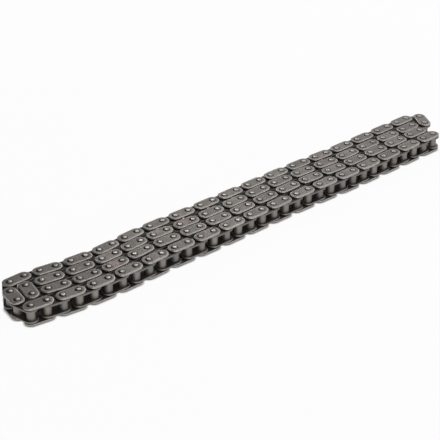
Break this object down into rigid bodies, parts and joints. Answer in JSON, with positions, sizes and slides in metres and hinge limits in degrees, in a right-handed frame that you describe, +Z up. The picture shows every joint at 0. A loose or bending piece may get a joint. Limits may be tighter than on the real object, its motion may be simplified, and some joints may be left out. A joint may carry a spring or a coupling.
{
  "type": "timing chain",
  "caption": "Endless simplex bush timing chain with riveted outer links, folded on its side in side-by-side strands.",
  "frame": {"origin": "under the middle of the folded chain, at the level of the lower pin ends", "axes": "+X along the strands to their right end, +Y from the front strand to the rear one, +Z up along the pins"},
  "size_m": [0.3374, 0.0402, 0.0118],
  "materials": {
    "outer_plate": "tumbled warm grey steel with bright broken edges and a faint straw tint",
    "inner_plate": "tumbled darker grey steel",
    "pin": "ground steel with riveted, slightly dented ends",
    "bush": "smooth light steel"
  },
  "bodies": {
    "front_left": {"front_left_outer_plates": "outer_plate", "front_left_pins": "pin", "front_left_inner_plates": "inner_plate", "front_left_bushes": "bush"},
    "front_middle": {"front_middle_outer_plates": "outer_plate", "front_middle_pins": "pin", "front_middle_inner_plates": "inner_plate", "front_middle_bushes": "bush"},
    "front_right": {"front_right_outer_plates": "outer_plate", "front_right_pins": "pin", "front_right_inner_plates": "inner_plate", "front_right_bushes": "bush"},
    "front_right_turn": {"front_right_turn_inner_plates": "inner_plate", "front_right_turn_bushes": "bush"},
    "second_right": {"second_right_outer_plates": "outer_plate", "second_right_pins": "pin", "second_right_inner_plates": "inner_plate", "second_right_bushes": "bush"},
    "second_middle": {"second_middle_outer_plates": "outer_plate", "second_middle_pins": "pin", "second_middle_inner_plates": "inner_plate", "second_middle_bushes": "bush"},
    "second_left": {"second_left_outer_plates": "outer_plate", "second_left_pins": "pin", "second_left_inner_plates": "inner_plate", "second_left_bushes": "bush"},
    "inner_left_turn": {"inner_left_turn_outer_plates": "outer_plate", "inner_left_turn_pins": "pin"},
    "third_left": {"third_left_outer_plates": "outer_plate", "third_left_pins": "pin", "third_left_inner_plates": "inner_plate", "third_left_bushes": "bush"},
    "third_middle": {"third_middle_outer_plates": "outer_plate", "third_middle_pins": "pin", "third_middle_inner_plates": "inner_plate", "third_middle_bushes": "bush"},
    "third_right": {"third_right_outer_plates": "outer_plate", "third_right_pins": "pin", "third_right_inner_plates": "inner_plate", "third_right_bushes": "bush"},
    "rear_right_turn": {"rear_right_turn_outer_plates": "outer_plate", "rear_right_turn_pins": "pin", "rear_right_turn_inner_plates": "inner_plate", "rear_right_turn_bushes": "bush"},
    "rear_right": {"rear_right_outer_plates": "outer_plate", "rear_right_pins": "pin", "rear_right_inner_plates": "inner_plate", "rear_right_bushes": "bush"},
    "rear_middle": {"rear_middle_outer_plates": "outer_plate", "rear_middle_pins": "pin", "rear_middle_inner_plates": "inner_plate", "rear_middle_bushes": "bush"},
    "rear_left": {"rear_left_outer_plates": "outer_plate", "rear_left_pins": "pin", "rear_left_inner_plates": "inner_plate", "rear_left_bushes": "bush"},
    "outer_left_turn": {"outer_left_turn_outer_plates": "outer_plate", "outer_left_turn_pins": "pin", "outer_left_turn_inner_plates": "inner_plate", "outer_left_turn_bushes": "bush"}
  },
  "joints": [
    {"name": "right_bend", "type": "hinge", "parent": "second_middle", "child": "second_right", "pos_m": [0.10144, -0.00446, 0.00588], "axis": [0, 0, 1], "range_deg": [-2, 38]},
    {"name": "front_right_turn_pivot", "type": "hinge", "parent": "second_right", "child": "front_right_turn", "pos_m": [0.14905, -0.00322, 0.00588], "axis": [0, 0, 1], "range_deg": [-38, 2]},
    {"name": "front_right_pivot", "type": "hinge", "parent": "front_right_turn", "child": "front_right", "pos_m": [0.15151, -0.01242, 0.00588], "axis": [0, 0, 1], "range_deg": [-2, 38]},
    {"name": "front_middle_pivot", "type": "hinge", "parent": "front_right", "child": "front_middle", "pos_m": [0.1039, -0.01366, 0.00588], "axis": [0, 0, 1], "range_deg": [-38, 2]},
    {"name": "front_left_pivot", "type": "hinge", "parent": "front_middle", "child": "front_left", "pos_m": [-0.11512, -0.01599, 0.00588], "axis": [0, 0, 1], "range_deg": [-30, 2]},
    {"name": "left_bend", "type": "hinge", "parent": "second_middle", "child": "second_left", "pos_m": [-0.10794, -0.00696, 0.00588], "axis": [0, 0, 1], "range_deg": [-30, 2]},
    {"name": "inner_left_turn_pivot", "type": "hinge", "parent": "second_left", "child": "inner_left_turn", "pos_m": [-0.15526, -0.00215, 0.00588], "axis": [0, 0, 1], "range_deg": [-2, 30]},
    {"name": "third_left_pivot", "type": "hinge", "parent": "inner_left_turn", "child": "third_left", "pos_m": [-0.15328, 0.00717, 0.00588], "axis": [0, 0, 1], "range_deg": [-30, 2]},
    {"name": "third_middle_pivot", "type": "hinge", "parent": "third_left", "child": "third_middle", "pos_m": [-0.10597, 0.00236, 0.00588], "axis": [0, 0, 1], "range_deg": [-2, 30]},
    {"name": "third_right_pivot", "type": "hinge", "parent": "third_middle", "child": "third_right", "pos_m": [0.0939, 0.00436, 0.00588], "axis": [0, 0, 1], "range_deg": [-2, 38]},
    {"name": "rear_right_turn_pivot", "type": "hinge", "parent": "third_right", "child": "rear_right_turn", "pos_m": [0.14152, 0.00519, 0.00588], "axis": [0, 0, 1], "range_deg": [-38, 2]},
    {"name": "rear_right_pivot", "type": "hinge", "parent": "rear_right_turn", "child": "rear_right", "pos_m": [0.13678, 0.01476, 0.00588], "axis": [0, 0, 1], "range_deg": [-2, 38]},
    {"name": "rear_middle_pivot", "type": "hinge", "parent": "rear_right", "child": "rear_middle", "pos_m": [0.08916, 0.01392, 0.00588], "axis": [0, 0, 1], "range_deg": [-38, 2]},
    {"name": "rear_left_pivot", "type": "hinge", "parent": "rear_middle", "child": "rear_left", "pos_m": [-0.10122, 0.01118, 0.00588], "axis": [0, 0, 1], "range_deg": [-30, 2]},
    {"name": "outer_left_turn_pivot", "type": "hinge", "parent": "rear_left", "child": "outer_left_turn", "pos_m": [-0.14854, 0.01599, 0.00588], "axis": [0, 0, 1], "range_deg": [-2, 30]}
  ],
  "couplings": [
    {"joint": "front_right_turn_pivot", "follows": "right_bend", "ratio": -1},
    {"joint": "front_right_pivot", "follows": "right_bend", "ratio": 1},
    {"joint": "front_middle_pivot", "follows": "right_bend", "ratio": -1},
    {"joint": "front_left_pivot", "follows": "left_bend", "ratio": 1},
    {"joint": "inner_left_turn_pivot", "follows": "left_bend", "ratio": -1},
    {"joint": "third_left_pivot", "follows": "left_bend", "ratio": 1},
    {"joint": "third_middle_pivot", "follows": "left_bend", "ratio": -1},
    {"joint": "third_right_pivot", "follows": "right_bend", "ratio": 1},
    {"joint": "rear_right_turn_pivot", "follows": "right_bend", "ratio": -1},
    {"joint": "rear_right_pivot", "follows": "right_bend", "ratio": 1},
    {"joint": "rear_middle_pivot", "follows": "right_bend", "ratio": -1},
    {"joint": "rear_left_pivot", "follows": "left_bend", "ratio": 1},
    {"joint": "outer_left_turn_pivot", "follows": "left_bend", "ratio": -1}
  ]
}
